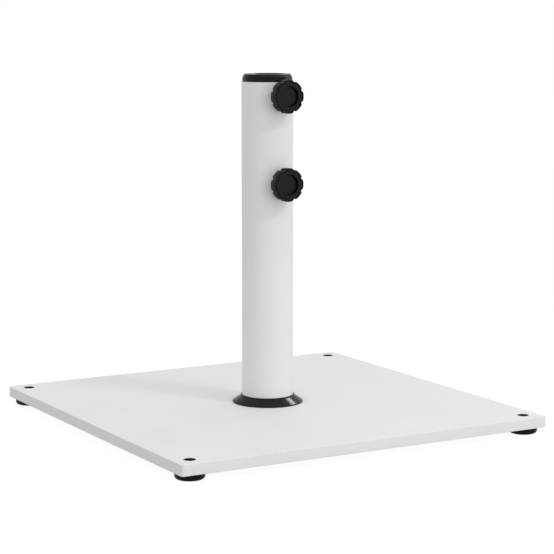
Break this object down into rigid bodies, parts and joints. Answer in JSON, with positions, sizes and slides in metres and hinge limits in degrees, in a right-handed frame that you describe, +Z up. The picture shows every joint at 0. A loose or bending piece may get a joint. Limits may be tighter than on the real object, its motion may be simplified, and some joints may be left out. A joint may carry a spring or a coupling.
{
  "type": "parasol base",
  "caption": "Square steel parasol base on low feet, with an upright pole tube, a cover ring at its foot, a reducer sleeve in its top and two lobed clamp knobs.",
  "frame": {"origin": "centre of the base on the ground, under the axis of the pole tube", "axes": "+Z up along the pole tube; the plate's sides run along X and Y; both clamp knobs face -Y"},
  "size_m": [0.45, 0.45, 0.3914],
  "materials": {
    "white_powder_coat": "white powder coat, satin, fine texture",
    "black_plastic": "moulded black polypropylene, fine grain",
    "gloss_black_plastic": "moulded black polypropylene, glossy",
    "foot_plastic": "moulded black polyethylene, matt",
    "pad_plastic": "natural nylon",
    "zinc_plated_steel": "bright zinc plate",
    "black_steel": "black-coated screw"
  },
  "bodies": {
    "base": {"base_plate": "white_powder_coat", "tube_flange": "white_powder_coat", "upright_tube": "white_powder_coat", "end_ring": "black_plastic", "flange_screw_1": "zinc_plated_steel", "flange_screw_2": "zinc_plated_steel", "flange_screw_3": "zinc_plated_steel", "flange_screw_4": "zinc_plated_steel", "foot_front_left": "foot_plastic", "foot_front_right": "foot_plastic", "foot_back_left": "foot_plastic", "foot_back_right": "foot_plastic", "foot_nut_front_left": "zinc_plated_steel", "foot_nut_front_right": "zinc_plated_steel", "foot_nut_back_left": "zinc_plated_steel", "foot_nut_back_right": "zinc_plated_steel", "foot_screw_front_left": "black_steel", "foot_screw_front_right": "black_steel", "foot_screw_back_left": "black_steel", "foot_screw_back_right": "black_steel", "clamp_nut_upper": "white_powder_coat", "clamp_nut_lower": "white_powder_coat"},
    "sleeve": {"reducer_sleeve": "black_plastic"},
    "cover": {"cover_ring": "gloss_black_plastic"},
    "upper_pad": {"pressure_pad_upper": "pad_plastic"},
    "upper_knob": {"clamp_knob_upper": "black_plastic", "knob_disc_upper": "black_plastic", "clamp_screw_upper": "zinc_plated_steel"},
    "lower_pad": {"pressure_pad_lower": "pad_plastic"},
    "lower_knob": {"clamp_knob_lower": "black_plastic", "knob_disc_lower": "black_plastic", "clamp_screw_lower": "zinc_plated_steel"}
  },
  "joints": [
    {"name": "sleeve_lift", "type": "slide", "parent": "base", "child": "sleeve", "axis": [0, 0, 1], "range_m": [0, 0.14]},
    {"name": "cover_lift", "type": "slide", "parent": "base", "child": "cover", "axis": [0, 0, 1], "range_m": [0, 0.2]},
    {"name": "upper_screw_travel", "type": "slide", "parent": "base", "child": "upper_pad", "axis": [0, 1, 0], "range_m": [-0.0044, 0.002]},
    {"name": "upper_knob_turn", "type": "hinge", "parent": "upper_pad", "child": "upper_knob", "pos_m": [0, -0.049, 0.3678], "axis": [0, 1, 0], "range_deg": [-1260, 570]},
    {"name": "lower_screw_travel", "type": "slide", "parent": "base", "child": "lower_pad", "axis": [0, 1, 0], "range_m": [-0.0044, 0.002]},
    {"name": "lower_knob_turn", "type": "hinge", "parent": "lower_pad", "child": "lower_knob", "pos_m": [0, -0.049, 0.2708], "axis": [0, 1, 0], "range_deg": [-1260, 570]}
  ],
  "couplings": [
    {"joint": "upper_screw_travel", "follows": "upper_knob_turn", "m_per_rad": 0.00019894},
    {"joint": "lower_screw_travel", "follows": "lower_knob_turn", "m_per_rad": 0.00019894}
  ]
}
